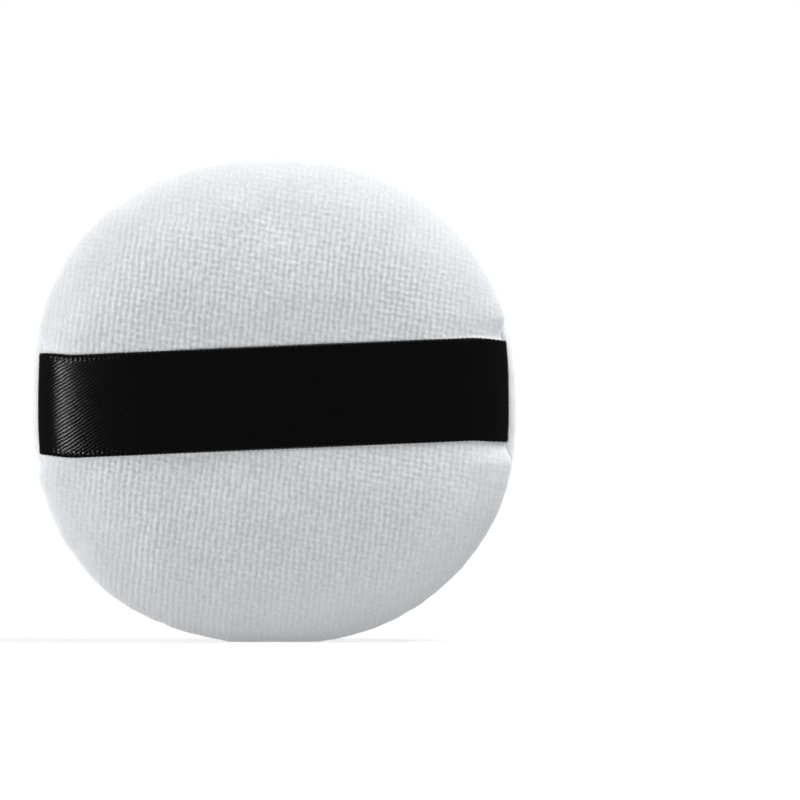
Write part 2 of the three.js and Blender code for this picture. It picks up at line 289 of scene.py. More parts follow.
def dome_line(form, side, radius, inset, base):
    """Section of a domed side from the axis to its widest ring: sizes and heights."""
    height, flat, power = side_facts(form, side)
    turn = np.linspace(0, math.pi / 2, DENSE)
    size = flat + np.sin(turn) ** (2 / power) * (radius - inset - flat)
    rise = base + (height - inset - base) * np.cos(turn)
    if flat:
        level = np.linspace(0, flat, DENSE, endpoint=False)
        size = join([level, size])
        rise = join([np.full(DENSE, height - inset), rise])
    return size, rise


def outer_line(form, side, radius, gap):
    """Outer section of a cover: over the dome and the lobe to the bottom of the crease."""
    size, rise = dome_line(form, side, radius, 0, mm(form.lobe_height))
    turn = np.linspace(0, math.pi / 2, DENSE)[1:]
    crease, lobe = mm(form.crease_depth), mm(form.lobe_height)
    size = join([size, radius - crease + crease * np.cos(turn)])
    rise = join([rise, lobe - (lobe - gap) * np.sin(turn)])
    return size, rise


def inner_line(form, side, radius, gap):
    """Inner section of a cover, along the allowance and back under the dome, and the height
    of its middle."""
    cloth, lobe = mm(form.cloth_thickness), mm(form.lobe_height)
    end = mm(form.rim_radius - form.crease_depth - form.allowance_width)
    size, rise = dome_line(form, side, radius, cloth, lobe)
    picks = np.linspace(len(size) - 1, 0, INNER_RINGS).round().astype(int)[:-1]
    sizes = [end, end, radius - cloth - FOLD_ROOM, *size[picks]]
    rises = [gap, gap + cloth, gap + cloth, *rise[picks]]
    return np.array(sizes), np.array(rises), rise[0]


def even_steps(size, rise, steps):
    """Places along a section that divide it evenly, and the length up to each."""
    length = path_length(np.stack([size, rise], -1))
    along = np.linspace(0, length[-1], steps + 1)
    return np.interp(along, length, np.arange(len(size))), along


def at_places(values, places):
    return np.interp(places, np.arange(len(values)), values)


def disc_grid(rings):
    """A square grid bent into a disc: its points' rings and angles, its rim and its quads."""
    line = np.arange(-rings, rings + 1)
    i, j = np.meshgrid(line, line, indexing="ij")
    ring = np.maximum(np.abs(i), np.abs(j))
    with np.errstate(divide="ignore", invalid="ignore"):
        beside = math.pi / 4 * j / i + np.where(i > 0, 0, math.pi)
        above = -math.pi / 4 * i / j + np.where(j > 0, 1, 3) * math.pi / 2
    angle = np.where(np.abs(i) >= np.abs(j), beside, above)
    angle[rings, rings] = 0
    count = 2 * rings + 1
    index = np.arange(count * count).reshape(count, count)
    rim = join([index[-1, :-1], index[:0:-1, -1], index[0, :0:-1], index[:-1, 0]])
    quads = np.stack([index[:-1, :-1], index[1:, :-1], index[1:, 1:], index[:-1, 1:]], -1)
    return ring.ravel(), angle.ravel(), rim, quads.reshape(-1, 4)


def sewn_points(form, strap, side, angle, free, held, pressed=True):
    """Points of a section turned round the outline, drawn in where the strap lies."""
    share = outline_share(form, angle)
    across, up = share * np.cos(angle), share * np.sin(angle)
    x, z = free[0] * across, free[0] * up
    spread = strap_hold(strap, x, z, HOLD_MARGIN, PART_FADE)
    press = strap_hold(strap, x, z, HOLD_MARGIN, mm(form.press_fade)) if pressed else 0.0
    size = free[0] + (held[0] - free[0]) * press
    height = free[1] + (held[1] - free[1]) * spread
    if side == BACK:
        height = height - strap_dent(form, strap, x, z, free[0] / mm(form.rim_radius))
    return np.stack([size * across, side * height, z], -1)


def grid_normals(points, quads):
    """Smooth normals of a mesh of quads."""
    a, b, c, d = (points[quads[:, k]] for k in range(4))
    faces = np.cross(c - a, d - b)
    normals = np.zeros_like(points)
    for k in range(4):
        for axis in range(3):
            normals[:, axis] += np.bincount(quads[:, k], faces[:, axis], len(points))
    return unit(normals)


def short_split(points, quads):
    """The quads, each turned so that it is split along its shorter diagonal."""
    first = np.linalg.norm(points[quads[:, 0]] - points[quads[:, 2]], axis=1)
    second = np.linalg.norm(points[quads[:, 1]] - points[quads[:, 3]], axis=1)
    return np.where((first > second)[:, None], np.roll(quads, 1, axis=1), quads)


def ring_quads(near, far):
    """Quads between two closed rings of points."""
    return np.stack([near, far, np.roll(far, -1), np.roll(near, -1)], -1)


def facing(faces, side):
    """The faces, turned round where the side is the face."""
    return faces[:, ::-1] if side == FACE else faces


# Cloth, in millimetres and shares

# Name and CAD node of each cover, its noise's seed, and slopes of its wales and tufts
COVERS = {
    FACE: ("velour_face", "face_cover", 300, (0.08, 0.06)),
    BACK: ("velour_back", "back_cover", 100, (0.115, 0.2)),
}

# Noise in the cloth: its reach, and its size along u and along v
WALE_WANDER = (0.16, 2.3, 3.1)
WALE_SWAY = (0.2, 14.0, 14.0)
TUFT_WANDER = (0.16, 1.9, 2.3)
LOOSE_FIBRE = (0.3, 0.5, 0.5)
LONG_WAVE = (1.0, 17.0, 17.0)
SHORT_WAVE = (0.4, 7.0, 7.0)

# Height of the pile: its middle, and what wales and tufts add or take
PILE_MIDDLE, WALE_SHARE, TUFT_SHARE = 0.5, 0.25, 0.12
PILE_START, PILE_FULL = 0.4, 3.5  # from the crease, where the pile begins and is full
PILE_LOW = 0.25  # what is left of the pile beside the crease
CALM_START, CALM_END, CALM = 0.55, 0.85, 0.6  # shares of the way where tufts even out
BARE_MARGIN, BARE_FADE = -0.2, 0.7  # the pile lies flat under the strap

GATHER_LENGTH = 3.4  # length of a gather along the seam
GATHER_OCTAVES = (1, 2)
GATHER_PLACE, GATHER_REACH, GATHER_START = 3.0, 4.5, 1.5  # from the crease
PRESSED_RIM = 4.0  # width of the rim that the strap draws in on the inside

# Tone of the pile, from the ground's colour at 0 to the tips' at 1. The darker ground is painted
# shade between the tufts and beside the crease, where the pile lies low.
TONE_LOW, TONE_RANGE, INNER_TONE = 0.25, 0.65, 0.3
STRAP_PAINTED_SHADE = 0.6  # painted shade: loss of tone under the strap
RIM_START, RIM_PAINTED_SHADE = 0.84, 0.46  # painted shade that darkens the pile towards the outline
TURN_START, TURN_PAINTED_SHADE = 0.94, 0.9  # more painted shade where the cloth turns over the rim


def pile_height(cloth, seed, lean, u, v):
    """Height of the pile over the ground, from 0 to 1, at places on the cloth in millimetres:
    wales, tufts along them and loose fibre."""
    across = u - lean[0] * v + grain(WALE_WANDER, seed, u, v)
    across = across + grain(WALE_SWAY, seed + 1, u, v)
    along = v + lean[1] * u + grain(TUFT_WANDER, seed + 2, u, v)
    wale = np.cos(2 * math.pi * across / mm(cloth.wale_pitch))
    tuft = np.cos(2 * math.pi * along / mm(cloth.nub_length))
    fibre = grain(LOOSE_FIBRE, seed + 3, u, v)
    return np.clip(PILE_MIDDLE + WALE_SHARE * wale + TUFT_SHARE * tuft + fibre, 0, 1)


def cloth_relief(form, cloth, strap, side, seed, lean, points, section, grid):
    """Lift, tone and place on the cloth of each point of a cover's plain form. The tone carries
    painted shade: a darker ground between the tufts and beside the crease, towards the outline,
    where the cloth turns over the rim, and under the strap. The section gives each ring's size and
    length along the cloth, and the grid each point's ring and angle."""
    size, along = section
    ring, angle = grid
    radius = mm(form.rim_radius)
    x, z = points[:, 0], points[:, 2]
    stretch = along[ring] / np.maximum(size[ring], TINY)
    u, v = x * stretch, z * stretch
    left = along[-1] - along[ring]
    covered = strap_hold(strap, x, z, BARE_MARGIN, BARE_FADE) if side == BACK else 0.0
    soft = ease(left, PILE_START, PILE_FULL)
    calm = CALM * ease(ring / form.rings, CALM_START, CALM_END)
    pile = pile_height(cloth, seed, lean, u, v)
    pile = (pile + (PILE_MIDDLE - pile) * calm) * (PILE_LOW + (1 - PILE_LOW) * soft)
    waves = grain(LONG_WAVE, seed + 5, u, v) + grain(SHORT_WAVE, seed + 6, u, v)
    spot = radius / GATHER_LENGTH
    gather = sum(
        smooth_noise(seed + 6 + k, k * spot * np.cos(angle), k * spot * np.sin(angle)) / k
        for k in GATHER_OCTAVES)
    beside = np.exp(-(((left - GATHER_PLACE) / GATHER_REACH) ** 2))
    gather = gather * (beside * ease(left, 0, GATHER_START))
    lift = (mm(cloth.nub_height) * (pile - PILE_MIDDLE) + mm(form.unevenness) * waves * soft
            + mm(form.pucker_depth) * gather) * (1 - covered)
    # Painted shade: the tone gets darker towards the outline
    outer = ease(x**2 + z**2, (RIM_START * radius) ** 2, radius**2)
    # Painted shade: darker still where the cloth turns over the rim
    turned = ease(np.maximum.accumulate(size)[ring], TURN_START * radius, radius)
    # Painted shade under the strap, towards the outline and over the rim darkens the tone here
    tone = ((TONE_LOW + TONE_RANGE * pile) * (1 - STRAP_PAINTED_SHADE * covered)
            * (1 - RIM_PAINTED_SHADE * outer) * (1 - TURN_PAINTED_SHADE * turned))
    return lift, tone, np.stack([u, v, np.zeros_like(u)], -1)


def cover_mesh(form, cloth, strap, side, seed, lean):
    """Points, quads, triangles and cloth values of one cover, a closed shell of velour."""
    seams = list(zip(rim_sizes(form, side), (mm(form.free_gap), mm(form.held_gap))))
    outer = [outer_line(form, side, radius, gap) for radius, gap in seams]
    inner = [inner_line(form, side, radius, gap) for radius, gap in seams]
    places, along = even_steps(*outer[0], form.rings)
    free, held = ([at_places(line, places) for line in lines] for lines in outer)
    ring, angle, rim, quads = disc_grid(form.rings)
    points = sewn_points(
        form, strap, side, angle, [line[ring] for line in free], [line[ring] for line in held])
    quads = short_split(points, facing(quads, side))
    lift, tone, place = cloth_relief(
        form, cloth, strap, side, seed, lean, points, (free[0], along), (ring, angle))
    points = points + grid_normals(points, quads) * lift[:, None]

    grid_count = len(points)
    faces, groups, last = [quads], [points], rim
    for k, size in enumerate(inner[0][0]):
        groups.append(sewn_points(
            form, strap, side, angle[rim],
            *([np.full(len(rim), line[k]) for line in lines[:2]] for lines in inner),
            pressed=size > seams[0][0] - PRESSED_RIM))
        now = grid_count + k * len(rim) + np.arange(len(rim))
        faces.append(facing(ring_quads(last, now), side))
        last = now
    centre = last[-1] + 1
    groups.append(np.array([[0, side * inner[0][2], 0]]))
    fan = facing(np.stack([last, np.full(len(last), centre), np.roll(last, -1)], -1), side)
    points = join(groups)
    values = {
        # The pile attribute carries the tone with its painted shade
        "pile": join([tone, np.full(len(points) - grid_count, INNER_TONE)]),
        "cloth_mm": join([place, points[grid_count:]]),
    }
    points[:, 2] = np.maximum(points[:, 2], -mm(CENTRE_Z))
    return points, join(faces), fan, values


def new_object(name, data):
    made = bpy.data.objects.new(name, data)
    bpy.context.scene.collection.objects.link(made)
    return made


def add_mesh(name, points, quads, triangles=(), values=None, smooth=True):
    """A mesh in the shared frame, from points in millimetres round the puff's centre."""
    mesh = bpy.data.meshes.new(name)
    triangles = np.asarray(triangles, int).reshape(-1, 3)
    places = np.asarray(points, float) * MM + np.array([0, SEAM_Y, CENTRE_Z])
    corners = join([quads.ravel(), triangles.ravel()]).astype(np.int32)
    sizes = join([np.full(len(quads), 4), np.full(len(triangles), 3)])
    mesh.vertices.add(len(places))
    mesh.vertices.foreach_set("co", places.astype(np.float32).ravel())
    mesh.loops.add(len(corners))
    mesh.loops.foreach_set("vertex_index", corners)
    mesh.polygons.add(len(sizes))
    starts = np.cumsum(sizes) - sizes
    mesh.polygons.foreach_set("loop_start", starts.astype(np.int32))
    mesh.polygons.foreach_set("use_smooth", np.full(len(sizes), smooth))
    for key, value in (values or {}).items():
        kind, field = ("FLOAT", "value") if value.ndim == 1 else ("FLOAT_VECTOR", "vector")
        layer = mesh.attributes.new(key, kind, "POINT")
        layer.data.foreach_set(field, value.astype(np.float32).ravel())
    mesh.update(calc_edges=True)
    mesh.validate()
    return new_object(name, mesh)


def place_piece(piece, material, node):
    """Gives the piece its finish and body, and lets it stand for its CAD node."""
    piece.data.materials.append(material)
    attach(piece, BODY)
    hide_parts(node)


def add_cover(scene, side):
    """One velour cover, finished and in its place."""
    name, node, seed, lean = COVERS[side]
    points, quads, fan, values = cover_mesh(
        scene.puff_form, scene.puff_cloth, scene.puff_strap, side, seed, lean)
    cover = add_mesh(name, points, quads, fan, values)
    place_piece(cover, velour_finish(scene.puff_cloth, name), node)


# Strap, in millimetres

STRAP_COLUMNS = 45  # points across the strap
STRAP_STEP = 0.2  # from one row of points to the next
END_ROWS, LOBE_ROWS, BACK_ROWS = 20, 60, 420  # in the seam, round the lobe, on the back
ROUND_FOLLOW = 0.55  # how far the rows follow the round rim
NARROWING = 0.015  # share of the width that the strap loses where it turns over the rim
NARROW_START, NARROW_END = 39.5, 44.0
LIE = 0.03  # room between the strap and the back
BEAD_PITCH, BEAD_SHIFT = 0.9, 1.9  # of the edges' beads, and the turn of one edge's
BEAD_REACH, SELVEDGE_SWELL = 0.05, 0.06  # how far the beads stand out sideways and up
SELVEDGE_WIDTH, SELVEDGE_RIDGE, SELVEDGE_EDGE = 1.25, 0.95, 0.35  # from the strap's edge in
HEM_WIDTH, HEM_THIN = 0.5, 0.08  # the edge gets thinner over this width, by this much
RIPPLE_SEED, RIPPLE_HEIGHT, RIPPLE_LENGTH, RIPPLES_ACROSS = 91, 0.04, 9.0, 2.0


def strap_rows(form, strap):
    """Rows of points of the pressed back, from the left end in the seam to the right end."""
    press, crease = mm(form.press_depth), mm(form.crease_depth)
    radius, held = rim_sizes(form, BACK)
    lobe, gap = mm(form.lobe_height), mm(form.held_gap)
    columns = np.linspace(-1, 1, STRAP_COLUMNS)
    turn = np.linspace(math.pi / 2, 0, LOBE_ROWS)
    edge = held - crease
    ends = np.linspace(edge - mm(strap.end_width), edge, END_ROWS, endpoint=False)
    sizes = join([ends, edge + crease * np.cos(turn)])
    rises = join([np.full(END_ROWS, gap), lobe - (lobe - gap) * np.sin(turn)])
    way = np.linspace(math.pi / 2, 0, BACK_ROWS)[1:]
    rows = []

    def offsets(x):
        """Z of a row's points, where the strap's middle is at x."""
        narrow = 1 - NARROWING * ease(np.abs(x), NARROW_START, NARROW_END)
        return strap_line(strap, x) + columns * mm(strap.width) / 2 * narrow

    for mark in (-1, 1):
        half = []
        for size, rise in zip(sizes, rises):
            z = offsets(mark * size)
            full = size + press
            recession = full - outline_x(form, full, z)
            x = (full - ROUND_FOLLOW * recession) * size / full
            half.append(np.stack([mark * x, np.full(len(z), -rise), z], -1))
        for part in np.sin(way) ** (2 / form.back_power):
            z = offsets(mark * part * held)
            recession = (radius - outline_x(form, radius, z)) * part**3
            free_x = part * radius - recession
            size = np.minimum(outline_size(form, free_x, z), radius)
            level = 1 - (size / radius) ** form.back_power
            rise = lobe + (mm(form.back_height) - lobe) * np.sqrt(np.maximum(level, 0))
            rise = rise - strap_dent(form, strap, mark * free_x, z, size / radius)
            x = (free_x + (1 - ROUND_FOLLOW) * recession) * held / radius
            half.append(np.stack([mark * x, -rise, z], -1))
        rows.append(half)
    return np.array(rows[0] + rows[1][:-1][::-1]), columns


def strap_mesh(form, strap):
    """The ribbon's closed strip, its values for the weave, and its length."""
    rows, columns = strap_rows(form, strap)
    length = path_length(rows[:, len(columns) // 2])
    stations = np.linspace(0, length[-1], int(length[-1] / STRAP_STEP))
    bed = np.stack([
        np.stack([np.interp(stations, length, rows[:, c, axis]) for axis in range(3)], -1)
        for c in range(len(columns))], 1)
    across = np.gradient(bed, axis=1)
    out, aside = unit(np.cross(np.gradient(bed, axis=0), across)), unit(across)

    run = np.broadcast_to(stations[:, None], bed.shape[:2])
    share = np.broadcast_to(columns[None, :], bed.shape[:2])
    edge = mm(strap.width) / 2 * (1 - np.abs(share))
    bead = np.cos(2 * math.pi * run / BEAD_PITCH + np.where(share > 0, 0.0, BEAD_SHIFT))
    selvedge = ease(edge, SELVEDGE_WIDTH, SELVEDGE_RIDGE)
    selvedge = selvedge * ease(edge, 0.0, SELVEDGE_EDGE)
    swell = SELVEDGE_SWELL * selvedge * (1 + bead) / 2
    hem = ease(edge, HEM_WIDTH, 0.0)
    ripple = smooth_noise(RIPPLE_SEED, run / RIPPLE_LENGTH, share * RIPPLES_ACROSS)
    bed = bed + aside * (BEAD_REACH * bead * hem * np.sign(share))[..., None]
    bed = bed + out * (RIPPLE_HEIGHT * ripple)[..., None]
    inner = bed + out * LIE
    outer = bed + out * (LIE + mm(strap.thickness) - HEM_THIN * hem + swell)[..., None]
    loop = join([inner, outer[:, ::-1]], axis=1)
    count, width = loop.shape[:2]
    index = np.arange(count * width).reshape(count, width)
    side = np.roll(index, -1, axis=1)
    quads = np.stack([index[:-1], side[:-1], side[1:], index[1:]], -1).reshape(-1, 4)
    half, caps = width // 2, []
    for row, flip in ((index[0], False), (index[-1], True)):
        cap = np.stack([row[: half - 1], row[width - 1 : half : -1],
                        row[width - 2 : half - 1 : -1], row[1:half]], -1)
        caps.append(cap[:, ::-1] if flip else cap)
    place = np.stack([run, share * mm(strap.width) / 2, np.zeros_like(run)], -1)
    place = join([place, place[:, ::-1]], axis=1)
    values = {"strap_mm": place.reshape(-1, 3)}
    return loop.reshape(-1, 3), join([quads, *caps]), values, length[-1]


# Threads, in millimetres and shares of a stitch

THREAD_SIDES = 8  # flats round a thread
SEAM_POINTS, CLOSING_POINTS = 14, 16  # points along each stitch
HOLE_REACH = 0.32  # over which a thread dips into its hole
THREAD_REST = 0.55  # of its diameter, from the cloth to the thread's middle
END_TAIL = 0.35  # of a stitch, past the first and last holes
SWING = 2.6  # how quickly a hand stitch passes from one side to the other


def tube_mesh(lines, radius):
    """Round closed tubes along lines of points, and each point's way along and round one."""
    points, quads, triangles, marks = [], [], [], []
    turn = np.linspace(0, 2 * math.pi, THREAD_SIDES, endpoint=False)
    start = 0
    for line in lines:
        along = unit(np.gradient(line, axis=0))
        level = unit(np.cross(along, unit(line * np.array([1, 0, 1]))))
        outward = np.cross(level, along)
        ring = (line[:, None]
                + radius * np.cos(turn)[None, :, None] * outward[:, None]
                + radius * np.sin(turn)[None, :, None] * level[:, None])
        count = len(line) * THREAD_SIDES
        index = start + np.arange(count).reshape(-1, THREAD_SIDES)
        side = np.roll(index, -1, axis=1)
        quads.append(np.stack([index[:-1], index[1:], side[1:], side[:-1]], -1).reshape(-1, 4))
        for row, flip in ((index[0], False), (index[-1], True)):
            fan = [[row[0], row[k], row[k + 1]] for k in range(1, THREAD_SIDES - 1)]
            triangles += [f[::-1] for f in fan] if flip else fan
        points.append(ring.reshape(-1, 3))
        run = np.repeat(path_length(line), THREAD_SIDES)
        marks.append(np.stack([run, np.tile(turn, len(line)), np.zeros(count)], -1))
        start += count
    return join(points), join(quads), np.array(triangles), join(marks)


def stitch_place(form, strap, size, angle):
    """X and Z of the seam line, and the height of the allowance that a thread lies on."""
    reach = size * outline_share(form, angle)
    x, z = reach * np.cos(angle), reach * np.sin(angle)
    spread = strap_hold(strap, x, z, HOLD_MARGIN, PART_FADE)
    gap = mm(form.free_gap) + mm(form.held_gap - form.free_gap) * spread
    return x, z, gap + mm(form.cloth_thickness)


def seam_lines(form, strap, thread):
    """Both threads of the lock-stitched seam, which meet inside the cloth at each hole."""
    size = mm(form.rim_radius - form.crease_depth - thread.seam_inset)
    start, end = thread.gap_end, thread.gap_start + 2 * math.pi
    holes = round((end - start) * size / mm(thread.seam_pitch))
    stitch = np.linspace(0, holes, holes * SEAM_POINTS + 1)
    angle = start + (end - start) * stitch / holes
    x, z, height = stitch_place(form, strap, size, angle)
    from_hole = np.abs(stitch - np.round(stitch)) * mm(thread.seam_pitch)
    dip = np.exp(-((from_hole / HOLE_REACH) ** 2))
    rest = height + THREAD_REST * mm(thread.diameter)
    lift = rest * (1 - dip) + mm(thread.diameter) / 2 * dip
    return [np.stack([x, side * lift, z], -1) for side in (FACE, BACK)]


def closing_lines(form, strap, thread):
    """The hand stitches, one thread that goes to and fro through both allowances."""
    size = mm(form.rim_radius - form.crease_depth - thread.closing_inset)
    start, end = thread.gap_start, thread.gap_end
    holes = round((end - start) * size / mm(thread.closing_pitch))
    stitch = np.linspace(-END_TAIL, holes + END_TAIL, holes * CLOSING_POINTS)
    angle = start + (end - start) * stitch / holes
    x, z, height = stitch_place(form, strap, size, angle)
    rest = height + THREAD_REST * mm(thread.diameter)
    swing = np.clip(SWING * np.cos(math.pi * (stitch - 0.5)), -1, 1)
    return [np.stack([x, rest * np.sin(swing * math.pi / 2), z], -1)]


# Foam, in millimetres

FOAM_LIFT = 0.7  # from the allowance to the foam's edge beside it
FOAM_INSIDE = 0.3  # from the allowance's end to the foam's waist
FOAM_SEED, FOAM_GRAIN = 400, (0.05, 1.3, 1.3)
FOAM_SINK = 0.06  # keeps the grain under the cloth


def foam_mesh(form, strap, fill):
    """The foam disc: a dome on each side, drawn in round the turned allowances."""
    inset = mm(form.cloth_thickness + fill.room)
    stack = mm(form.held_gap + form.cloth_thickness) + FOAM_LIFT
    waist = mm(form.rim_radius - form.crease_depth - form.allowance_width) - FOAM_INSIDE
    ring, angle, rim, quads = disc_grid(fill.rings)
    parts, faces = [], []
    for side in (BACK, FACE):
        lines = []
        for reach in rim_sizes(form, side):
            size, rise = dome_line(form, side, reach, inset, stack)
            lines.append((np.append(size, waist), np.append(rise, stack)))
        places, _ = even_steps(*lines[0], fill.rings)
        free, held = ([at_places(line, places)[ring] for line in pair] for pair in lines)
        group = sewn_points(form, strap, side, angle, free, held)
        turned = facing(quads, side)
        rough = grain(FOAM_GRAIN, FOAM_SEED, group[:, 0], group[:, 2]) - FOAM_SINK
        group = group + grid_normals(group, turned) * rough[:, None]
        faces.append(turned + len(parts) * len(group))
        parts.append(group)
    belt = ring_quads(rim, rim + len(parts[0]))
    return join(parts), join([*faces, belt])


# Finishes. Scales are per millimetre, and the foam's are per metre.

WHITE = (1, 1, 1, 1)
CAST, SPECK = (0.97, 1.03), (0.88, 1.12)  # slow and quick changes of the velour's tone
VELOUR_MATT = (0.82, 0.98)
SLANT = math.radians(30)  # of the satin's weave lines
WAVER = 0.5  # how far the weave lines waver
FILAMENT = 0.5  # share of single filaments in the satin's relief
SATIN_GLOSS = (0.22, 0.14)
SATIN_LINE_HIGHLIGHT = 1.6  # painted highlight: the weave's raised lines are this much paler than its colour
PLIES, PLY_PITCH = 3, 0.9  # yarns in the thread, and the length of one turn
PLY_PAINTED_SHADE = 0.8  # painted shade between the yarns
THREAD_MATT = (0.8, 0.6)
CELL_PAINTED_SHADE = 0.6  # painted shade inside the foam's cells
FOAM_MATT = (0.85, 1.0)


def set_sockets(tree, node, sockets):
    """Sets sockets, by name or number, to a value or to what another node gives."""
    for key, value in sockets.items():
        if isinstance(value, NodeSocket):
            tree.links.new(value, node.inputs[key])
        else:
            node.inputs[key].default_value = value


def add_node(tree, kind, sockets, **settings):
    node = tree.nodes.new("ShaderNode" + kind)
    for key, value in settings.items():
        setattr(node, key, value)
    set_sockets(tree, node, sockets)
    return node


def new_finish(name):
    """A new material, its nodes and its surface."""
    material = bpy.data.materials.new(name)
    material.use_nodes = True
    return material, material.node_tree, material.node_tree.nodes["Principled BSDF"]


def scaled(paint, share):
    return [share * part for part in paint]


def mix_colours(tree, factor, first, second):
    node = add_node(
        tree, "Mix", {0: factor, 6: (*first, 1), 7: (*second, 1)}, data_type="RGBA")
    return node.outputs[2]


def result(tree, operation, first, second=0.0):
    """What one sum gives."""
    return add_node(tree, "Math", {0: first, 1: second}, operation=operation).outputs[0]


def ranged(tree, value, low, high):
    """The value from 0 to 1 taken to low to high."""
    return add_node(tree, "MapRange", {0: value, 3: low, 4: high}).outputs[0]


def stored(tree, name, output="Vector"):
    """A value that the mesh carries."""
    return add_node(tree, "Attribute", {}, attribute_name=name).outputs[output]


def split(tree, place):
    return add_node(tree, "SeparateXYZ", {0: place}).outputs


def cloudy(tree, place, scale, detail):
    """Soft noise from 0 to 1."""
    sockets = {"Vector": place, "Scale": scale, "Detail": detail}
    return add_node(tree, "TexNoise", sockets).outputs["Fac"]


def relief(tree, height, strength, distance):
    sockets = {"Height": height, "Strength": strength, "Distance": distance}
    return add_node(tree, "Bump", sockets).outputs[0]


def velour_finish(cloth, name):
    """White cotton pile: paler tips, a ground in painted shade, fine fibres and a soft sheen."""
    material, tree, surface = new_finish(name)
    place = stored(tree, "cloth_mm")
    fibre = cloudy(tree, place, scale=3.2, detail=3)
    shade = ranged(tree, cloudy(tree, place, scale=0.11, detail=2), *CAST)
    speck = ranged(tree, cloudy(tree, place, scale=1.8, detail=1), *SPECK)
    # Painted shade: the mix takes the darker ground colour where the stored tone is low
    colour = mix_colours(tree, stored(tree, "pile", "Fac"), cloth.ground_colour_with_painted_shade, cloth.tip_colour)
    toned = add_node(
        tree, "VectorMath",
        {0: colour, "Scale": result(tree, "MULTIPLY", shade, speck)}, operation="SCALE")
    set_sockets(tree, surface, {
        "Base Color": toned.outputs[0],
        "Roughness": ranged(tree, fibre, *VELOUR_MATT),
        "Normal": relief(tree, fibre, strength=0.35, distance=0.00012),
        "Specular IOR Level": 0.15,
        "Sheen Weight": cloth.sheen,
        "Sheen Roughness": 0.5,
    })
    return material


def satin_finish(strap):
    """Black satin: slanted weave lines that catch the light, with a painted highlight on them, and
    fine filaments along it.
    """
    material, tree, surface = new_finish("black_satin")
    place = stored(tree, "strap_mm")
    along, across, _ = split(tree, place)
    slant = result(tree, "MULTIPLY", along, -math.tan(SLANT))
    waver = result(tree, "MULTIPLY", cloudy(tree, place, scale=0.5, detail=2), WAVER)
    line = result(tree, "ADD", result(tree, "ADD", across, slant), waver)
    phase = result(tree, "MULTIPLY", line, math.pi / mm(strap.twill_pitch))
    twill = result(tree, "ABSOLUTE", result(tree, "SINE", phase))
    drawn = add_node(tree, "Mapping", {"Vector": place, "Scale": (0.8, 9.0, 1.0)}).outputs[0]
    filament = result(tree, "MULTIPLY", cloudy(tree, drawn, scale=1.0, detail=3), FILAMENT)
    height = result(tree, "ADD", twill, filament)
    # Painted highlight: the raised weave lines are paler than the satin's colour
    light = scaled(strap.colour, SATIN_LINE_HIGHLIGHT)
    set_sockets(tree, surface, {
        "Base Color": mix_colours(tree, twill, strap.colour, light),
        "Roughness": ranged(tree, twill, *SATIN_GLOSS),
        "Normal": relief(tree, height, strength=1.0, distance=0.00002),
    })
    return material


def thread_finish(thread, name):
    """White spun thread with its plies twisted round each other, and painted shade between them."""
    material, tree, surface = new_finish(name)
    run, turn, _ = split(tree, stored(tree, "thread_mm"))
    twist = result(tree, "MULTIPLY", run, 2 * math.pi / PLY_PITCH)
    angle = result(tree, "MULTIPLY", result(tree, "ADD", twist, turn), PLIES)
    ply = ranged(tree, result(tree, "SINE", angle), 0.0, 1.0)
    # Painted shade: darker colour between the plies
    shade = scaled(thread.colour, PLY_PAINTED_SHADE)
    set_sockets(tree, surface, {
        "Base Color": mix_colours(tree, ply, shade, thread.colour),
        "Roughness": ranged(tree, ply, *THREAD_MATT),
        "Normal": relief(tree, ply, strength=0.6, distance=0.00005),
    })
    return material


def foam_finish(fill):
    """Matt cream foam with open cells, and painted shade inside them."""
    material, tree, surface = new_finish("cream_foam")
    place = add_node(tree, "TexCoord", {}).outputs["Object"]
    cells = add_node(tree, "TexVoronoi", {"Vector": place, "Scale": 1800.0})
    depth = cells.outputs["Distance"]
    wall = ranged(tree, depth, 1.0, 0.0)
    # Painted shade: darker colour inside the cells
    shade = scaled(fill.colour, CELL_PAINTED_SHADE)
    set_sockets(tree, surface, {
        "Base Color": mix_colours(tree, wall, fill.colour, shade),
        "Roughness": ranged(tree, wall, *FOAM_MATT),
        "Normal": relief(tree, depth, strength=0.8, distance=0.0003),
    })
    return material


# Studio, in metres

SEEN_FLOOR = (0.75, 0.75, 0.75)  # the floor's colour where it is seen
FADE_START, FADE_END = 0.1, 0.4  # from the object, where the floor turns white
NEAR_WHITE, FAR_WHITE = 0.8, 1.0  # how white the seen floor is before and after
FLOOR_REACH, FLOOR_DROP = 6.0, 0.00002  # half its width, and its room under the puff
SCREEN_COLOUR = (0.01, 0.01, 0.01, 1)
SCREEN_START, SCREEN_END, SCREEN_STEPS = -225, 45, 48  # degrees round the puff, from +X
SCREEN_NEAR, SCREEN_FAR, SCREEN_HEIGHT, SCREEN_LIFT = 0.03, 1.3, 3.0, 0.001
SENSOR_WIDTH = 36
CLIP_START, CLIP_END = 0.01, 50

# Place, size and brightness of each soft box, and whether satin shows it
SOFT_BOXES = {
    "top_box": ((0.5, -0.08, 0.95), (0.6, 0.4), 18.3, False),
    "left_box": ((-1.1, 0.0, 0.25), (0.3, 0.5), 22.5, False),
    "back_box": ((0.45, 0.95, 0.15), (0.6, 0.4), 2.2, False),
    "left_strip": ((-0.735, -0.77, 0.06), (0.2, 0.14), 9.5, True),
}


def background_share(tree):
    """1 for what is seen directly or in a reflection, else 0."""
    path = add_node(tree, "LightPath", {}).outputs
    seen = result(tree, "MAXIMUM", path["Is Camera Ray"], path["Is Glossy Ray"])
    return result(tree, "MAXIMUM", seen, path["Is Transmission Ray"])


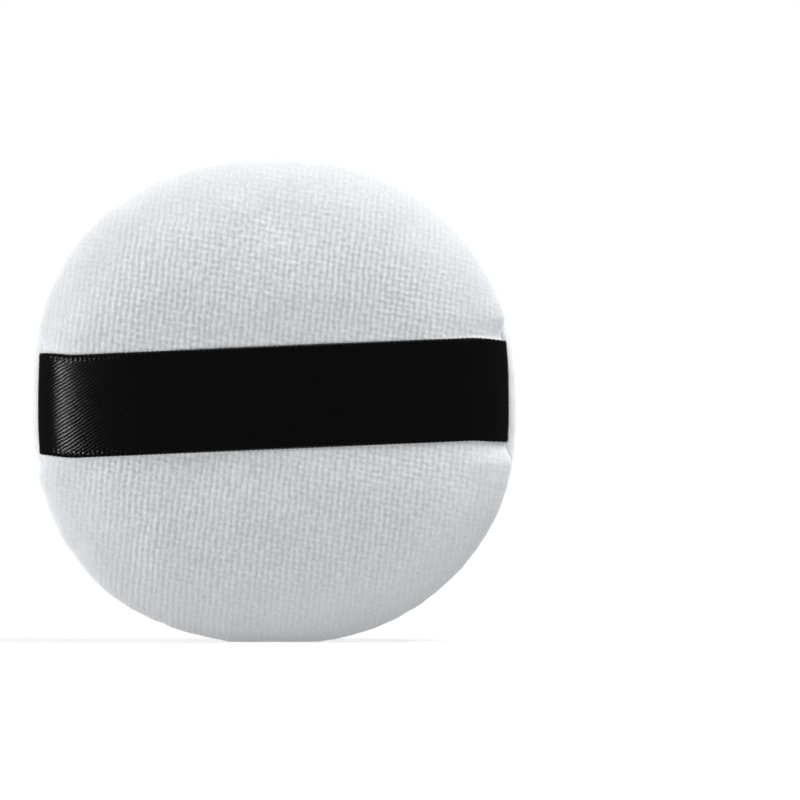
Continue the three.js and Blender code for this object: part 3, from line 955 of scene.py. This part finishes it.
def studio_world(studio):
    """A white tent, bright above and on both sides and dim towards the camera."""
    world = bpy.data.worlds.new("pale_room")
    world.use_nodes = True
    tree = world.node_tree
    tree.nodes.clear()
    way = add_node(tree, "TexCoord", {}).outputs["Generated"]
    aside = result(tree, "MULTIPLY", split(tree, way)[1], 1 / studio.tent_width)
    squared = result(tree, "MULTIPLY", aside, aside)
    fade = result(tree, "EXPONENT", result(tree, "MULTIPLY", squared, -1.0))
    glow = result(tree, "MULTIPLY", fade, studio.tent)
    strength = result(tree, "ADD", glow, studio.ambient)
    room = add_node(tree, "Background", {"Color": WHITE, "Strength": strength})
    white = add_node(tree, "Background", {"Color": WHITE, "Strength": 1.0})
    mix = add_node(tree, "MixShader", {
        0: background_share(tree), 1: room.outputs[0], 2: white.outputs[0]})
    add_node(tree, "OutputWorld", {0: mix.outputs[0]})
    bpy.context.scene.world = world


def floor_finish(studio):
    """Matt floor, whitened where it is seen to meet the white background."""
    material, tree, surface = new_finish("pale_floor")
    seen = background_share(tree)
    set_sockets(tree, surface, {
        "Base Color": mix_colours(tree, seen, studio.floor_colour, SEEN_FLOOR),
        "Roughness": 0.9,
        "Specular IOR Level": 0.1,
    })
    place = add_node(tree, "NewGeometry", {}).outputs["Position"]
    away = add_node(tree, "VectorMath", {0: place}, operation="LENGTH")
    far = add_node(
        tree, "MapRange",
        {0: away.outputs["Value"], 1: FADE_START, 2: FADE_END, 3: NEAR_WHITE, 4: FAR_WHITE},
        interpolation_type="SMOOTHSTEP")
    white = result(tree, "MULTIPLY", seen, far.outputs[0])
    glow = add_node(tree, "Emission", {"Strength": 1.0})
    mix = add_node(tree, "MixShader", {
        0: result(tree, "MAXIMUM", white, studio.table_glow),
        1: surface.outputs[0],
        2: glow.outputs[0],
    })
    set_sockets(tree, tree.nodes["Material Output"], {0: mix.outputs[0]})
    return material


def add_soft_box(name, place, size, radiance, reflected):
    """A rectangular soft light of one brightness, turned towards the puff's centre."""
    light = bpy.data.lights.new(name, "AREA")
    light.shape = "RECTANGLE"
    light.size, light.size_y = size
    light.energy = radiance * math.pi * size[0] * size[1]
    lamp = new_object(name, light)
    lamp.location = place
    way = Vector((0, 0, CENTRE_Z)) - Vector(place)
    lamp.rotation_euler = way.to_track_quat("-Z", "Y").to_euler()
    lamp.visible_camera = False
    lamp.visible_glossy = reflected


def add_dark_screen():
    """A dark screen and apron on the camera's side, seen only by the satin, which they keep
    black."""
    material, tree, surface = new_finish("dark_screen")
    set_sockets(tree, surface, {
        "Base Color": SCREEN_COLOUR, "Roughness": 1.0, "Specular IOR Level": 0.0})
    turn = np.radians(np.linspace(SCREEN_START, SCREEN_END, SCREEN_STEPS))
    around = np.stack([np.cos(turn), np.sin(turn)], -1)
    level = mm(SCREEN_LIFT - CENTRE_Z)
    near, far, top = mm(SCREEN_NEAR), mm(SCREEN_FAR), mm(SCREEN_HEIGHT)
    rings = [
        np.column_stack([reach * around, np.full(len(turn), height)])
        for reach, height in ((near, level), (far, level), (far, top))]
    step = len(turn)
    first = np.arange(step - 1)
    belt = np.stack([first, first + 1, first + 1 + step, first + step], -1)
    screen = add_mesh("dark_screen", join(rings), join([belt, belt + step]))
    screen.data.materials.append(material)
    for ray in ("camera", "diffuse", "transmission", "shadow"):
        setattr(screen, "visible_" + ray, False)


def add_floor(studio):
    reach, level = mm(FLOOR_REACH), -mm(CENTRE_Z + FLOOR_DROP)
    corners = [(x * reach, y * reach, level) for x, y in ((-1, -1), (1, -1), (1, 1), (-1, 1))]
    floor = add_mesh("floor", corners, np.array([[0, 1, 2, 3]]), smooth=False)
    floor.data.materials.append(floor_finish(studio))


def add_camera(studio):
    data = bpy.data.cameras.new("camera")
    data.sensor_width = SENSOR_WIDTH
    data.lens = SENSOR_WIDTH * studio.camera_distance / studio.frame_width
    data.clip_start, data.clip_end = CLIP_START, CLIP_END
    camera = new_object("camera", data)
    camera.location = (studio.aim_x, SEAM_Y - studio.camera_distance, studio.aim_z)
    camera.rotation_euler = (math.pi / 2, 0, 0)
    bpy.context.scene.camera = camera


# Operators


class PUFF_OT_face_cover(Operator):
    """Makes the velour cover of the plain side"""

    bl_idname = "puff.face_cover"
    bl_label = "Face cover"

    def execute(self, context):
        add_cover(context.scene, FACE)
        return {"FINISHED"}


class PUFF_OT_back_cover(Operator):
    """Makes the velour cover of the strap side"""

    bl_idname = "puff.back_cover"
    bl_label = "Back cover"

    def execute(self, context):
        add_cover(context.scene, BACK)
        return {"FINISHED"}


class PUFF_OT_foam_disc(Operator):
    """Makes the foam disc inside the covers"""

    bl_idname = "puff.foam_disc"
    bl_label = "Foam disc"

    def execute(self, context):
        scene = context.scene
        disc = add_mesh("foam_disc", *foam_mesh(scene.puff_form, scene.puff_strap, scene.puff_foam))
        place_piece(disc, foam_finish(scene.puff_foam), "sponge_core")
        return {"FINISHED"}


class PUFF_OT_satin_strap(Operator):
    """Makes the satin ribbon across the back, with its ends in the seam"""

    bl_idname = "puff.satin_strap"
    bl_label = "Satin strap"

    def execute(self, context):
        scene = context.scene
        points, quads, values, length = strap_mesh(scene.puff_form, scene.puff_strap)
        strap = add_mesh("satin_strap", points, quads, values=values)
        place_piece(strap, satin_finish(scene.puff_strap), "strap_ribbon")
        return {"FINISHED"}


class PUFF_OT_threads(Operator):
    """Makes the machine seam and the hand stitches that close the turning gap"""

    bl_idname = "puff.threads"
    bl_label = "Threads"

    def execute(self, context):
        scene = context.scene
        form, strap, thread = scene.puff_form, scene.puff_strap, scene.puff_thread
        rows = (
            ("lock_stitches", seam_lines(form, strap, thread), "seam_thread"),
            ("hand_stitches", closing_lines(form, strap, thread), "closing_thread"),
        )
        for name, lines, node in rows:
            points, quads, triangles, twist = tube_mesh(lines, mm(thread.diameter) / 2)
            piece = add_mesh(name, points, quads, triangles, {"thread_mm": twist})
            place_piece(piece, thread_finish(thread, name), node)
        return {"FINISHED"}


class PUFF_OT_studio(Operator):
    """Makes the floor, the soft lights and the camera"""

    bl_idname = "puff.studio"
    bl_label = "Studio"

    def execute(self, context):
        scene = context.scene
        scene.view_settings.view_transform = "Standard"
        studio_world(scene.puff_studio)
        add_floor(scene.puff_studio)
        add_dark_screen()
        for name, facts in SOFT_BOXES.items():
            add_soft_box(name, *facts)
        add_camera(scene.puff_studio)
        return {"FINISHED"}


class PUFF_PT_panel(Panel):
    """Lists the puff's pieces and the studio"""

    bl_idname = "PUFF_PT_panel"
    bl_label = "Powder puff"
    bl_space_type = "VIEW_3D"
    bl_region_type = "UI"
    bl_category = "Powder puff"

    def draw(self, context):
        for operator in OPERATORS:
            self.layout.operator(operator.bl_idname)


GROUPS = {
    "puff_form": PuffForm,
    "puff_cloth": VelourCloth,
    "puff_strap": SatinStrap,
    "puff_thread": SewingThread,
    "puff_foam": FoamFill,
    "puff_studio": StudioSet,
}
OPERATORS = (
    PUFF_OT_face_cover, PUFF_OT_back_cover, PUFF_OT_foam_disc, PUFF_OT_satin_strap,
    PUFF_OT_threads, PUFF_OT_studio,
)


def register():
    for group in (*GROUPS.values(), *OPERATORS, PUFF_PT_panel):
        bpy.utils.register_class(group)
    for name, group in GROUPS.items():
        setattr(bpy.types.Scene, name, PointerProperty(type=group))


def unregister():
    for name in GROUPS:
        delattr(bpy.types.Scene, name)
    for group in (PUFF_PT_panel, *reversed(OPERATORS), *reversed(GROUPS.values())):
        bpy.utils.unregister_class(group)


def main():
    register()
    bpy.ops.puff.face_cover()
    bpy.ops.puff.back_cover()
    bpy.ops.puff.foam_disc()
    bpy.ops.puff.satin_strap()
    bpy.ops.puff.threads()
    bpy.ops.puff.studio()


if __name__ == "__main__":
    main()
